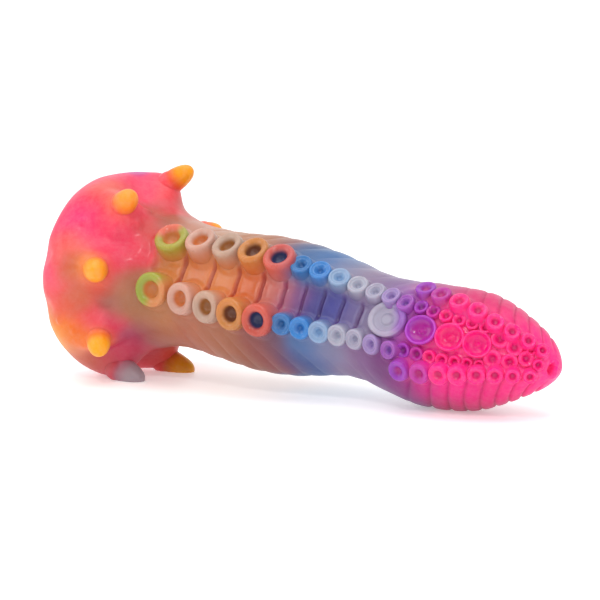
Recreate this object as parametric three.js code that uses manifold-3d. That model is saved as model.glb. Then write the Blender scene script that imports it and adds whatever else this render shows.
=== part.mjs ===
// A tapered tentacle-shaped toy of soft cast silicone, lying on its side on a flat surface.
// It is poured in stages, so every colour of silicone is a solid of its own: a lobed dome at the
// base with eight horns, a shallow suction cup behind it, a shaft in four pours, two rows of
// sucker cups along the shaft and a flattened bulb with a ribbed rim of sucker cups at the tip.
// Millimetres. +X runs from the base to the tip, +Z is up, the surface is z = 0, and the origin
// lies under the middle of the bounding box. The sucker side faces -Y and a little upwards.
import * as THREE from "three";
import { mergeVertices } from "three/addons/utils/BufferGeometryUtils.js";
import Module from "manifold-3d";

const wasm = await Module();
wasm.setup();

// ---- driving dimensions ----
const GAP = 0.3; // clearance between neighbouring pours
const AXIS_Y = 0.7; // the centre line is off the middle of the box, because one horn reaches out
const BACK_X = -107.5; // plane of the suction cup's rim
const TIP_X = 107.5;
const CUP_X = -103.5; // where the suction cup meets the dome
const DOME_END_X = -64.5; // where the dome meets the shaft
const BELLY_X = -33.9; // the belly and the neck are the stretches where the shaft bends
const MIDDLE_X = -7.1;
const NECK_X = 12.1;
const BULB_X = 34.3;

// The centre line's height above the surface, as [x, z].
const SPINE = [
  [BACK_X, 42.0], [-87.5, 41.1], [-67.5, 39.8], [-48.5, 37.6], [-28.5, 34.8], [-9.5, 32.8],
  [8.5, 31.2], [22.5, 29.4], [35.5, 26.9], [47.5, 24.2], [59.5, 22.6], [77.5, 21.8], [93.5, 20.3],
  [TIP_X, 17.8],
];
// Radius of the shaft and bulb, as [x, radius].
const BODY_RADIUS = [
  [DOME_END_X, 27.0], [-56, 25.2], [-45.5, 24.4], [-28.5, 25.4], [-14.5, 26.2], [-0.5, 25.5],
  [9.5, 23.9], [18.5, 22.1], [27.5, 20.5], [36.5, 20.1], [45.5, 21.2], [54.5, 22.4], [62.5, 22.4],
  [70.5, 22.0], [78.5, 20.8], [85.5, 18.3], [92.5, 14.9], [98, 11.6], [102.5, 8.3], [105.5, 5.6],
  [TIP_X, 3.0],
];
// Radius of the dome, and how deep the valleys between its lobes are, as a share of the radius.
const DOME_RADIUS = [
  [CUP_X, 31.5], [-101.5, 35.4], [-98.5, 38.9], [-94, 41.2], [-88.5, 41.8], [-83.5, 40.3], [-78.5, 36.8],
  [-73.5, 32.2], [-69, 29.2], [DOME_END_X, 27.3],
];
const VALLEY_DEPTH = [
  [CUP_X, 0.01], [-96, 0.04], [-88, 0.08], [-79, 0.12], [-71, 0.05], [DOME_END_X, 0.01],
];

// The sucker side leans up from the horizontal by this many degrees, and twists on its way along.
const LEAN_AT_BASE = 25.8;
const LEAN_AT_TIP = 14;
// The horns. angle is a horn's place round the centre line, in degrees up from the horizontal on the
// -Y side. splay is how far it leans away from the centre line, at its root and at its tip, towards
// the angle aim. The fifth and sixth, which the toy lies on, are bent forward.
const HORNS = [
  { angle: 105, aim: 107, splay: [42, 34], length: 13.5 },
  { angle: 57, aim: 44, splay: [42, 34], length: 11 },
  { angle: 9, aim: 6, splay: [48, 44], length: 11 },
  { angle: -38, aim: -37, splay: [54, 50], length: 11 },
  { angle: -68, aim: -68, splay: [24, 4], length: 13.5 },
  { angle: -112, aim: -112, splay: [24, 4], length: 13.5 },
  { angle: -161, aim: -161, splay: [48, 40], length: 12 },
  { angle: 157, aim: 157, splay: [48, 40], length: 12 },
];
const HORN_X = -79;
const HORN_RADIUS = 5.2;
const HORN_SINK = 3; // how far a horn's root sits inside the dome

const CUP_RIM_RADIUS = 27.5;
const CUP_DISH_RADIUS = 23;
const CUP_DISH_DEPTH = 2.8;
const TIP_HOLE_RADIUS = 2.2;
const TIP_HOLE_DEPTH = 3.2;
const RUNG_GROOVE = { width: 1.4, depth: 1.8 };
const RIB_DEPTH = 0.7; // of the ribs across the bulb's sides

// ---- interpolation and the body's surface ----
const { degToRad, mapLinear, lerp, clamp, euclideanModulo } = THREE.MathUtils;
const wrapped = (degrees) => euclideanModulo(degrees + 180, 360) - 180;

// A smooth curve through [x, value] pairs.
function along(table, x) {
  const last = table.length - 1;
  if (x <= table[0][0]) return table[0][1];
  if (x >= table[last][0]) return table[last][1];
  const i = table.findIndex((p) => p[0] > x) - 1;
  const slope = (k) => {
    const a = table[Math.max(k - 1, 0)];
    const b = table[Math.min(k + 1, last)];
    return (b[1] - a[1]) / (b[0] - a[0]);
  };
  const [x0, v0] = table[i];
  const [x1, v1] = table[i + 1];
  const t = (x - x0) / (x1 - x0);
  const share = t * t * (3 - 2 * t);
  const bend = slope(i) * t * (1 - t) ** 2 - slope(i + 1) * t * t * (1 - t);
  return lerp(v0, v1, share) + (x1 - x0) * bend;
}

// Position, tangent and upward normal of the centre line at x.
function spineFrame(x) {
  const near = clamp(x, BACK_X + 1, TIP_X - 1);
  const rise = (along(SPINE, near + 1) - along(SPINE, near - 1)) / 2;
  const tangent = new THREE.Vector3(1, 0, rise).normalize();
  return {
    centre: new THREE.Vector3(x, AXIS_Y, along(SPINE, x)),
    tangent,
    up: new THREE.Vector3(-tangent.z, 0, tangent.x),
  };
}

// Unit vector out from the centre line, at an angle up from the horizontal on the -Y side.
function outward(x, degrees) {
  const turn = degToRad(degrees);
  return new THREE.Vector3(0, -Math.cos(turn), 0).addScaledVector(spineFrame(x).up, Math.sin(turn));
}

const lean = (x) => mapLinear(x, DOME_END_X, TIP_X, LEAN_AT_BASE, LEAN_AT_TIP);

// ---- where the sucker cups are ----
// A row on each side of the middle: five wide cups, seven narrow ones and, on the bulb, tiny ones.
const WIDE_COUNT = 5;
const WIDE_START_X = -54;
const WIDE_PITCH = 13.4;
const NARROW_COUNT = 7;
const NARROW_START_X = 8.4;
const NARROW_PITCH = 7.4;
const ROW_ANGLE = 26;
const ROW_ANGLE_ON_BULB = 17.5;

// The angle between a row and the middle of the sucker side.
const rowAngle = (x) => lerp(ROW_ANGLE, ROW_ANGLE_ON_BULB, clamp((x - 44) / 16, 0, 1));

function rowCups() {
  const cups = [];
  for (let k = 0; k < WIDE_COUNT; k++) {
    const radius = k === 0 ? 6.4 : 5.5;
    cups.push({
      x: WIDE_START_X + k * WIDE_PITCH, radius, height: 3.6, sink: 1.6, hollow: radius * 0.6, depth: 3,
    });
  }
  for (let k = 0; k < NARROW_COUNT; k++) {
    const share = k / (NARROW_COUNT - 1);
    const radius = lerp(3.5, 2.8, share);
    cups.push({
      x: NARROW_START_X + k * NARROW_PITCH, radius, height: lerp(2.6, 1.5, share), sink: 1.3,
      hollow: radius * 0.5, depth: 1.6,
    });
  }
  return cups.map((cup) => ({ ...cup, angle: rowAngle(cup.x) }));
}

// A run of cups on one side of the middle, whose pitch and size shrink towards the tip.
function shrinkingRun({ start, pitch, count, shrink, angles, radii }) {
  const cups = [];
  let x = start;
  for (let k = 0; k < count; k++) {
    const share = k / (count - 1);
    const angle = lerp(angles[0], angles[1], Math.min(1, share * 1.6));
    cups.push({ x, angle, radius: lerp(radii[0], radii[1], share ** 1.5) });
    x += pitch * shrink ** k;
  }
  return cups;
}

// The middle of the bulb's flat side. stretch is how much longer than wide a cup is.
const MIDDLE_CUPS = [
  { x: 47.7, angle: 3, radius: 4.7, stretch: 1.4 },
  { x: 64.5, angle: 3, radius: 5.2, stretch: 1.2 },
  { x: 76.2, angle: 2.5, radius: 4.6, stretch: 1.15 },
  { x: 86.1, angle: 1.5, radius: 4.2, stretch: 1.1 },
].map((cup) => ({ ...cup, height: 1.9, sink: 1.4, hollow: cup.radius * 0.7, depth: 1.9 }));

// The border between the bulb's flat side and its ribbed sides.
const BORDER_CUPS = shrinkingRun({
  start: 57, pitch: 8.4, count: 8, shrink: 0.91, angles: [43, 33], radii: [3.7, 2],
}).map((cup) => ({ ...cup, height: 1.5, sink: 1.2, hollow: cup.radius * 0.52, depth: 1.4 }));

// Tiny cups of the bulb's own silicone, between the middle and the border.
const TINY_CUPS = [
  ...shrinkingRun({
    start: 61.6, pitch: 6, count: 7, shrink: 0.93, angles: [22, 17], radii: [2.4, 1.5],
  }),
  ...shrinkingRun({
    start: 92.8, pitch: 5.2, count: 3, shrink: 0.8, angles: [11, 11], radii: [1.7, 1],
  }),
].map((cup) => ({ ...cup, height: 1.1, sink: 0.6, hollow: cup.radius * 0.5, depth: 0.9 }));

// ---- the body's shape ----
// Radius at x, at an angle in degrees from the middle of the sucker side, which is flattened.
function bodyRadius(x, angle) {
  const flattened = 0.12 * Math.exp(-((angle / 27) ** 4));
  const side = Math.exp(-(((Math.abs(angle) - 80) / 34) ** 4));
  const nearest = Math.min(...BORDER_CUPS.map((cup, k) => Math.abs(x - cup.x) / (3.9 - 0.25 * k)));
  const rib = x > BORDER_CUPS[0].x - 5 && x < TIP_X - 6 ? Math.min(1, nearest ** 2) : 0;
  return along(BODY_RADIUS, x) * (1 - flattened) - RIB_DEPTH * rib * side;
}

// Radius of the dome at x, which swells round the root of each horn.
function domeRadius(x, degrees) {
  const nearest = Math.min(...HORNS.map((horn) => Math.abs(wrapped(degrees - horn.angle))));
  const valley = Math.sin(degToRad(90) * Math.min(nearest / 24, 1)) ** 2;
  return along(DOME_RADIUS, x) * (1 - along(VALLEY_DEPTH, x) * valley);
}

// ---- making solids ----
function geometryOf(solid) {
  const mesh = solid.getMesh();
  const positions = new Float32Array(mesh.numVert * 3);
  for (let i = 0; i < mesh.numVert; i++) {
    positions.set(mesh.vertProperties.subarray(i * mesh.numProp, i * mesh.numProp + 3), i * 3);
  }
  const geometry = new THREE.BufferGeometry();
  geometry.setAttribute("position", new THREE.BufferAttribute(positions, 3));
  geometry.setIndex(new THREE.BufferAttribute(new Uint32Array(mesh.triVerts), 1));
  return geometry;
}

function solidOf(geometry) {
  const bare = geometry.index ? geometry.toNonIndexed() : geometry.clone();
  bare.deleteAttribute("normal");
  bare.deleteAttribute("uv");
  const merged = mergeVertices(bare, 1e-4);
  return new wasm.Manifold(new wasm.Mesh({
    numProp: 3,
    vertProperties: merged.attributes.position.array,
    triVerts: new Uint32Array(merged.index.array),
  }));
}

// A closed solid through rings of points. Each ring runs the same way round, and both ends are capped.
function loft(rings) {
  const count = rings[0].length;
  const points = rings.flat().map((p) => p.clone());
  const faces = [];
  for (let r = 0; r + 1 < rings.length; r++) {
    for (let i = 0; i < count; i++) {
      const a = r * count + i;
      const b = r * count + ((i + 1) % count);
      faces.push(a, b, a + count, b, b + count, a + count);
    }
  }
  const middleOf = (ring) => ring.reduce((sum, p) => sum.add(p), new THREE.Vector3()).divideScalar(count);
  const first = points.push(middleOf(rings[0])) - 1;
  const last = points.push(middleOf(rings.at(-1))) - 1;
  const lastRing = (rings.length - 1) * count;
  for (let i = 0; i < count; i++) {
    const next = (i + 1) % count;
    faces.push(first, next, i, last, lastRing + i, lastRing + next);
  }
  const geometry = new THREE.BufferGeometry().setFromPoints(points);
  geometry.setIndex(faces);
  return geometry;
}

const RING_POINTS = 32;

// A ring round the centre line whose radius is a function of the angle in degrees.
function ring(x, radiusAt) {
  const { centre } = spineFrame(x);
  return Array.from({ length: RING_POINTS }, (_, i) => {
    const degrees = (-360 * i) / RING_POINTS;
    return centre.clone().addScaledVector(outward(x, degrees), radiusAt(degrees));
  });
}

const bodyRing = (x) => ring(x, (degrees) => bodyRadius(x, wrapped(degrees - lean(x))));
const domeRing = (x) => ring(x, (degrees) => domeRadius(x, degrees));

// Evenly spaced stations from one end of a pour to the other, drawn in by half the gap at each end.
function stations(from, to, step) {
  const start = from + GAP / 2;
  const end = to - GAP / 2;
  const count = Math.ceil((end - start) / step);
  return Array.from({ length: count + 1 }, (_, i) => lerp(start, end, i / count));
}

// A solid of revolution made along +Y, moved so that its foot is at point and it stands along
// direction, with its own X along the tangent.
function lathe(profile, segments, point, direction, tangent) {
  const across = new THREE.Vector3().crossVectors(tangent, direction).normalize();
  const forward = new THREE.Vector3().crossVectors(direction, across);
  const place = new THREE.Matrix4().makeBasis(forward, direction, across).setPosition(point);
  const points = profile.map(([r, y]) => new THREE.Vector2(r, y));
  return solidOf(new THREE.LatheGeometry(points, segments).applyMatrix4(place));
}

// ---- materials: one silicone in many pigments ----
const silicone = (color) => new THREE.MeshStandardMaterial({ color, roughness: 0.35, metalness: 0 });
const PIGMENT = {
  pink: silicone(0xee5470), yellow: silicone(0xf9a93c), tan: silicone(0xbf8260), coral: silicone(0xc86a5a),
  blue: silicone(0x4a7fc0), lavender: silicone(0xa696b8), magenta: silicone(0xee3a88),
  lime: silicone(0xb9bd52), shell: silicone(0xd6b1a8), amber: silicone(0xe09347),
  white: silicone(0xbcbcc8), purple: silicone(0xa650b4),
};

const group = new THREE.Group();
function add(name, solid, material) {
  const mesh = new THREE.Mesh(geometryOf(solid), material);
  mesh.name = name;
  group.add(mesh);
}

// ---- horns ----
const HORN_SIDES = 10;
// Share of the way along a horn, and its radius there as a share of the root's.
const HORN_TAPER = [[0, 1], [0.3, 0.96], [0.5, 0.84], [0.75, 0.66], [0.93, 0.46], [1, 0.24]];

// Unit vector that leans away from the centre line at x by splay degrees, towards an angle round it.
function splayed(x, aim, splay) {
  return spineFrame(x).tangent.multiplyScalar(Math.cos(degToRad(splay)))
    .addScaledVector(outward(x, aim), Math.sin(degToRad(splay)));
}

// grow makes the horn bigger all round, to cut its seat.
function hornSolid({ angle, aim, splay, length }, grow = 0) {
  const { tangent, centre } = spineFrame(HORN_X);
  const out = outward(HORN_X, angle);
  const root = centre.addScaledVector(out, domeRadius(HORN_X, angle));
  const [rootAim, tipAim] = splay.map((degrees) => splayed(HORN_X, aim, degrees));
  const bend = root.clone().addScaledVector(rootAim, length * 0.4);
  const path = new THREE.QuadraticBezierCurve3(
    root.clone().addScaledVector(rootAim, -HORN_SINK - grow),
    bend,
    bend.clone().addScaledVector(tipAim, length * 0.6 + grow),
  );
  const side = new THREE.Vector3().crossVectors(out, tangent).normalize();
  const rings = HORN_TAPER.map(([t, width]) => {
    const middle = path.getPoint(t);
    const across = new THREE.Vector3().crossVectors(side, path.getTangent(t)).normalize();
    const radius = HORN_RADIUS * width + grow;
    return Array.from({ length: HORN_SIDES }, (_, i) => {
      const turn = (2 * Math.PI * i) / HORN_SIDES;
      return middle.clone().addScaledVector(side, radius * Math.cos(turn))
        .addScaledVector(across, -radius * Math.sin(turn));
    });
  });
  return solidOf(loft(rings));
}
HORNS.forEach((horn, i) => add(`horn_${i + 1}`, hornSolid(horn), PIGMENT.yellow));

// ---- suction cup and dome ----
function suctionCup() {
  const { tangent, centre } = spineFrame(BACK_X);
  const top = CUP_X - BACK_X - GAP / 2;
  const profile = [
    [0, CUP_DISH_DEPTH], [CUP_DISH_RADIUS * 0.6, CUP_DISH_DEPTH * 0.75], [CUP_DISH_RADIUS, 0],
    [CUP_RIM_RADIUS, 0], [CUP_RIM_RADIUS + 1.2, top], [0, top],
  ];
  return lathe(profile, 32, centre, tangent, new THREE.Vector3(0, 1, 0));
}
add("suction_cup", suctionCup(), PIGMENT.pink);

let dome = solidOf(loft(stations(CUP_X, DOME_END_X, 4.2).map(domeRing)));
for (const horn of HORNS) dome = dome.subtract(hornSolid(horn, GAP));
add("base_dome", dome, PIGMENT.pink);

// ---- sucker cups ----
const CUP_SIDES = 12;
const seats = []; // what the body has cut away, for the cups that are solids of their own

// A cup is a tapered stub with a conical hollow. Its foot is sunk below the skin.
function cupSolid(cup, side, sides = CUP_SIDES) {
  const { x, radius, height, sink, hollow, depth, stretch = 1 } = cup;
  const { foot, direction, tangent } = footOf(cup, side);
  const profile = [
    [0, -sink], [radius, -sink], [radius * 0.92, height], [hollow, height], [0, height - depth],
  ];
  return stretched(lathe(profile, sides, foot, direction, tangent), x, foot, stretch);
}

function seatSolid(cup, side) {
  const { foot, direction, tangent } = footOf(cup, side);
  const radius = cup.radius + GAP;
  const bottom = -cup.sink - GAP;
  const top = cup.height + 2;
  const profile = [[0, bottom], [radius, bottom], [radius, top], [0, top]];
  return stretched(lathe(profile, CUP_SIDES, foot, direction, tangent), cup.x, foot, cup.stretch ?? 1);
}

// side is 1 for the upper row and -1 for the lower one.
function footOf({ x, angle }, side) {
  const direction = outward(x, lean(x) + side * angle);
  const { centre, tangent } = spineFrame(x);
  return { foot: centre.addScaledVector(direction, bodyRadius(x, side * angle)), direction, tangent };
}

// Makes a solid longer by a factor, about a point on it, along the tangent at x.
function stretched(solid, x, point, factor) {
  const turn = (Math.atan2(spineFrame(x).tangent.z, 1) * 180) / Math.PI;
  return solid.translate([-point.x, -point.y, -point.z]).rotate([0, turn, 0]).scale([factor, 1, 1])
    .rotate([0, -turn, 0]).translate([point.x, point.y, point.z]);
}

function addCup(name, cup, side, material) {
  add(name, cupSolid(cup, side), material);
  seats.push(seatSolid(cup, side));
}

const ROW_PIGMENTS = [
  "lime", "shell", "shell", "amber", "coral", "blue", "blue", "white", "white", "white",
  "lavender", "purple",
];
const MIDDLE_PIGMENTS = ["lavender", "purple", "magenta", "magenta"];
for (const [row, side] of [["upper", 1], ["lower", -1]]) {
  rowCups().forEach((cup, i) => addCup(`${row}_sucker_${i + 1}`, cup, side, PIGMENT[ROW_PIGMENTS[i]]));
  BORDER_CUPS.forEach((cup, i) => addCup(`${row}_border_sucker_${i + 1}`, cup, side, PIGMENT.magenta));
}
MIDDLE_CUPS.forEach((cup, i) => addCup(`middle_sucker_${i + 1}`, cup, 1, PIGMENT[MIDDLE_PIGMENTS[i]]));

// ---- shaft and bulb ----
// One pour of the body, with the seats of the sucker cups cut in it. moulded is what it has joined on.
function pour(from, to, step, moulded = []) {
  let solid = solidOf(loft(stations(from, to, step).map(bodyRing)));
  for (const piece of moulded) solid = solid.add(piece);
  for (const seat of seats) solid = solid.subtract(seat);
  return solid;
}

// Grooves across the middle of the shaft, between each pair of cups and the next, leave its rungs.
function rungGrooves() {
  const cups = rowCups();
  return cups.slice(0, 9).map((cup, i) => {
    const x = (cup.x + cups[i + 1].x) / 2;
    const { centre, tangent } = spineFrame(x);
    const direction = outward(x, lean(x));
    const across = new THREE.Vector3().crossVectors(direction, tangent);
    const reach = along(BODY_RADIUS, x) * Math.sin(degToRad(ROW_ANGLE)) - cup.radius - GAP - 0.5;
    const box = new THREE.BoxGeometry(RUNG_GROOVE.width, 2 * reach, RUNG_GROOVE.depth + 4);
    centre.addScaledVector(direction, bodyRadius(x, 0) + 2 - RUNG_GROOVE.depth / 2);
    const place = new THREE.Matrix4().makeBasis(tangent, across, direction).setPosition(centre);
    return solidOf(box.applyMatrix4(place));
  });
}

function tipHole() {
  const { tangent, centre } = spineFrame(TIP_X - TIP_HOLE_DEPTH);
  const top = TIP_HOLE_DEPTH + 2;
  const profile = [[0, 0], [TIP_HOLE_RADIUS, 0], [TIP_HOLE_RADIUS, top], [0, top]];
  return lathe(profile, 10, centre, tangent, new THREE.Vector3(0, 1, 0));
}

function grooved(solid) {
  return rungGrooves().reduce((left, groove) => left.subtract(groove), solid);
}

add("shaft_root", grooved(pour(DOME_END_X, BELLY_X, 6.5)), PIGMENT.tan);
add("shaft_belly", grooved(pour(BELLY_X, MIDDLE_X, 7.5)), PIGMENT.coral);
add("shaft_middle", grooved(pour(MIDDLE_X, NECK_X, 6.2)), PIGMENT.blue);
add("shaft_neck", grooved(pour(NECK_X, BULB_X, 6.2)), PIGMENT.lavender);

const tinyCups = TINY_CUPS.flatMap((cup) => [cupSolid(cup, 1, 6), cupSolid(cup, -1, 6)]);
add("bulb", pour(BULB_X, TIP_X + GAP / 2, 3.4, tinyCups).subtract(tipHole()), PIGMENT.magenta);

export default group;
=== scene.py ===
"""A tentacle-shaped toy of soft cast silicone, lying on its side.

Lengths are in millimetres up to the point where a mesh is made, in the frame of the CAD model: +X from
the base to the tip, +Z up, the floor at z = 0. A place on the body is a station x and an angle: phi is
measured up from the horizontal on the -Y side, and a is measured from the middle of the sucker side.
"""
import math

import bpy
import numpy as np
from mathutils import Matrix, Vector


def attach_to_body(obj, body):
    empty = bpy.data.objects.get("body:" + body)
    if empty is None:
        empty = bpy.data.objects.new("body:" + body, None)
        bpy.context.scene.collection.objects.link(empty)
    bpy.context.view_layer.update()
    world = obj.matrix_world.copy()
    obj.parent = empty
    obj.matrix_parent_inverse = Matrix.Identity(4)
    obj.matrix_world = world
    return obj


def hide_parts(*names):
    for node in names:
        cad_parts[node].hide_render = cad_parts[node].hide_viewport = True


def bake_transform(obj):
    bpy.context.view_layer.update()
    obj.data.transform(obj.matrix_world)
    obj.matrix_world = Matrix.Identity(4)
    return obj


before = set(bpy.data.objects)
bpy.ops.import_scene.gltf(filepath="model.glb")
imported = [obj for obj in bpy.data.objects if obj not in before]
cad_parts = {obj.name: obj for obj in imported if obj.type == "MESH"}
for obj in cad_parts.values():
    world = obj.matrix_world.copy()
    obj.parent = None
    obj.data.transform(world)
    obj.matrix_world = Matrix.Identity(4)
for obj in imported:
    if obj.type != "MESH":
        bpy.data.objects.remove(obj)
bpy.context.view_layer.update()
MM = 0.001

# ---- the shape, close to the CAD model's ----
# The outline, the horns and the cups were measured on the photograph and rounded.
AXIS_Y = 0.7
CUP_X = -103.5
DOME_END_X = -64.5
BELLY_X = -33.9
MIDDLE_X = -7.1
NECK_X = 12.1
BULB_X = 34.3
TIP_X = 107.8
SPLIT_X = 4.0  # the two halves of the skin meet here, near a groove between two rungs

# Height of the centre line at each station.
SPINE = [
    (-107.5, 42.0), (-87.5, 41.1), (-67.5, 39.8), (-48.5, 37.6), (-28.5, 34.8), (-9.5, 32.8), (8.5, 31.2),
    (22.5, 29.4), (35.5, 26.9), (47.5, 24.2), (59.5, 22.6), (77.5, 21.8), (93.5, 20.3), (107.5, 17.8),
]
# Radius of the body at each station, before the small relief.
RADIUS = [
    (CUP_X, 31.5), (-102.7, 34.2), (-101.3, 37.0), (-98.5, 39.8), (-94, 41.4), (-88.5, 41.8), (-83.5, 40.3),
    (-78.5, 36.8), (-73.5, 32.2), (-69, 29.2), (DOME_END_X, 27.2), (-56, 25.2), (-45.5, 24.4), (-28.5, 25.4),
    (-14.5, 26.2), (-0.5, 25.5), (9.5, 23.9), (18.5, 22.1), (27.5, 20.5), (36.5, 20.1), (45.5, 21.2),
    (54.5, 22.4), (62.5, 22.4), (70.5, 22.0), (78.5, 20.8), (85.5, 18.3), (92.5, 14.9), (98, 11.6),
    (102.5, 8.3), (105.2, 5.6), (106.8, 3.2), (107.5, 1.7), (TIP_X, 0.0),
]
# How deep the valleys between the dome's lobes are, as a share of the radius.
VALLEY_DEPTH = [(CUP_X, 0.0), (-96, 0.01), (-88, 0.06), (-79, 0.14), (-72, 0.08), (DOME_END_X, 0.0)]
LEAN_AT_BASE = 25.8  # how far the middle of the sucker side is turned upwards, in degrees
LEAN_AT_TIP = 14.0
# angle is a horn's place round the centre line, and it leans towards aim by splay degrees from the
# centre line, at its root and at its tip.
HORNS = [
    {"x": -78, "angle": 104, "aim": 110, "splay": (42, 34), "length": 11.5},
    {"x": -76.5, "angle": 55, "aim": 50, "splay": (40, 36), "length": 9.5},
    {"x": -76.5, "angle": 9, "aim": 4, "splay": (48, 46), "length": 8.2},
    {"x": -78, "angle": -35, "aim": -37, "splay": (54, 50), "length": 8.6},
    {"x": -79, "angle": -68, "aim": -68, "splay": (24, 4), "length": 13.0},
    {"x": -79, "angle": -112, "aim": -112, "splay": (24, 4), "length": 13.5},
    {"x": -79, "angle": -161, "aim": -161, "splay": (48, 40), "length": 9.5},
    {"x": -79, "angle": 157, "aim": 172, "splay": (50, 50), "length": 6.4},
]
HORN_SINK = 3.0  # how far a horn goes on inside the skin
HORN_RADIUS = 4.9
HORN_BELOW = 1.6  # a horn starts this far under the skin of its lobe
FLOOR_GAP = 0.02  # keeps soft parts from dipping through the floor


def along(table, x):
    """A smooth curve through (x, value) pairs."""
    xs, values = np.array(table, float).T
    slopes = np.empty_like(xs)
    slopes[1:-1] = (values[2:] - values[:-2]) / (xs[2:] - xs[:-2])
    slopes[0] = (values[1] - values[0]) / (xs[1] - xs[0])
    slopes[-1] = (values[-1] - values[-2]) / (xs[-1] - xs[-2])
    x = np.clip(x, xs[0], xs[-1])
    i = np.clip(np.searchsorted(xs, x, "right") - 1, 0, len(xs) - 2)
    step = xs[i + 1] - xs[i]
    t = (x - xs[i]) / step
    share = t * t * (3 - 2 * t)
    bend = slopes[i] * t * (1 - t) ** 2 - slopes[i + 1] * t * t * (1 - t)
    return values[i] * (1 - share) + values[i + 1] * share + step * bend


def smooth(x, low, high):
    """0 below low, 1 above high and smooth between them."""
    t = np.clip((x - low) / (high - low), 0, 1)
    return t * t * (3 - 2 * t)


def wrapped(degrees):
    """The same angle, between -180 and 180."""
    return (degrees + 180) % 360 - 180


def lean(x):
    """The angle phi of the middle of the sucker side."""
    return np.interp(x, (DOME_END_X, TIP_X), (LEAN_AT_BASE, LEAN_AT_TIP))


def spine_frame(x):
    """Centre, tangent and upward normal of the centre line."""
    x = np.asarray(x, float)
    near = np.clip(x, SPINE[0][0] + 1, SPINE[-1][0] - 1)
    rise = (along(SPINE, near + 1) - along(SPINE, near - 1)) / 2
    length = np.sqrt(1 + rise * rise)
    zero = np.zeros_like(x)
    centre = np.stack([x, zero + AXIS_Y, along(SPINE, x)], -1)
    tangent = np.stack([1 / length, zero, rise / length], -1)
    up = np.stack([-tangent[..., 2], zero, tangent[..., 0]], -1)
    return centre, tangent, up


def outward(x, phi):
    """Unit vector out from the centre line, at the angle phi."""
    turn = np.radians(phi)
    _, _, up = spine_frame(x)
    return np.stack([0 * turn, -np.cos(turn), 0 * turn], -1) + up * np.sin(turn)[..., None]


# The outline from the middle of the back to the tip, measured along itself.
OUTLINE_X = np.concatenate([np.full(8, CUP_X), np.linspace(CUP_X, 104, 1200)[1:],
                            TIP_X - (TIP_X - 104) * np.linspace(1, 0, 80)[1:] ** 2])
OUTLINE_R = np.concatenate([np.linspace(0, 1, 8) * RADIUS[0][1], along(RADIUS, OUTLINE_X[8:])])
OUTLINE_S = np.concatenate([[0], np.cumsum(np.hypot(np.diff(OUTLINE_X), np.diff(OUTLINE_R)))])


def station(x):
    """Distance along the outline at x, on the sides of the body."""
    return np.interp(x, OUTLINE_X[8:], OUTLINE_S[8:])


# ---- where the cups are ----
# A cup is (x, angle from the middle of the sucker side, radius, height, stretch). Row 1 is the upper
# row and row -1 the lower one.
WIDE_X = {1: [-53.6, -39.7, -25.4, -12.4, -0.6], -1: [-54.0, -38.7, -25.7, -13.7, -2.4]}
NARROW_START = {1: 7.6, -1: 6.6}
NARROW_PITCH = 7.45
FIRST_RADIUS, WIDE_RADIUS, WIDE_HEIGHT = 6.9, 6.3, 5.2
NARROW_COUNT = 7
SMALL_HEIGHT = 1.3  # of the chain cups and the tip cups
ROW_ANGLE = {1: [(-54, 22.8), (-40, 26.8), (0, 26.5), (10, 28.5), (44, 29.5), (54, 27)],
             -1: [(-54, 23.7), (0, 24.8), (20, 25.8), (30, 24), (44, 20.6), (54, 20)]}


def row_cups(side):
    """The five wide cups on the shaft's first half and the seven narrow ones after them."""
    cups = []
    for k, x in enumerate(WIDE_X[side]):
        radius = FIRST_RADIUS if k == 0 else WIDE_RADIUS
        cups.append((x, side * along(ROW_ANGLE[side], x), radius, WIDE_HEIGHT, 1.0))
    for k in range(NARROW_COUNT):
        x = NARROW_START[side] + NARROW_PITCH * k
        radius, height = min(4.25, 4.5 - 0.16 * k), 3.0 - 0.14 * k
        cups.append((x, side * along(ROW_ANGLE[side], x), radius, height, 1.0))
    return cups


def shrinking_run(start, pitch, count, shrink, angles, radii, height):
    """Cups whose pitch and size shrink towards the tip."""
    cups = []
    x = start
    for k in range(count):
        share = k / (count - 1)
        angle = np.interp(min(1, share * 1.6), (0, 1), angles)
        radius = np.interp(share ** 1.5, (0, 1), radii)
        cups.append((x, float(angle), float(radius), height, 1.0))
        x += pitch * shrink ** k
    return cups


ROW = {1: row_cups(1), -1: row_cups(-1)}
BORDER = {1: shrinking_run(57.8, 8.5, 8, 0.90, (46, 29.5), (3.9, 2.4), 1.7),
          -1: shrinking_run(56.6, 7.9, 8, 0.925, (-34.7, -29.5), (3.9, 2.5), 1.7)}
CHAIN = {1: shrinking_run(59.2, 5.8, 6, 0.93, (29, 23), (2.9, 2.1), SMALL_HEIGHT),
         -1: shrinking_run(56.2, 5.5, 6, 0.95, (-17.7, -20.5), (2.9, 2.0), SMALL_HEIGHT)}
# These are (x, angle, radius).
TIP_CUPS = [(89.8, 17.5, 3.4), (88.9, -11.5, 3.4), (94.6, 13.5, 3.1), (94.3, -12.0, 3.1), (98.9, 1.5, 2.9),
            (99.4, 20.0, 1.8), (102.8, -4.0, 2.2), (85.0, -20.5, 1.8)]
MIDDLE = [(46.6, 8.2, 6.9, 2.6, 1.2), (61.9, 6.4, 5.7, 2.2, 1.14), (73.7, 3.9, 5.3, 2.2, 1.1),
          (83.2, 2.9, 5.1, 2.2, 1.05)]
# A groove runs across half way between each pair of cups and the next.
GROOVE_X = [(ROW[1][k][0] + ROW[1][k + 1][0] + ROW[-1][k][0] + ROW[-1][k + 1][0]) / 4 for k in range(9)]
# Small warts on the dome, as (x, phi, size).
WARTS = [(-86, 37, 1.5), (-76, 38, 1.7), (-69.5, 50, 1.6), (-71, 68, 1.3), (-91, -23, 1.3), (-85, -28, 1.2),
         (-84, 130, 1.6), (-77, -135, 1.7), (-88, 175, 1.4), (-72, -160, 1.5)]


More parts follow.
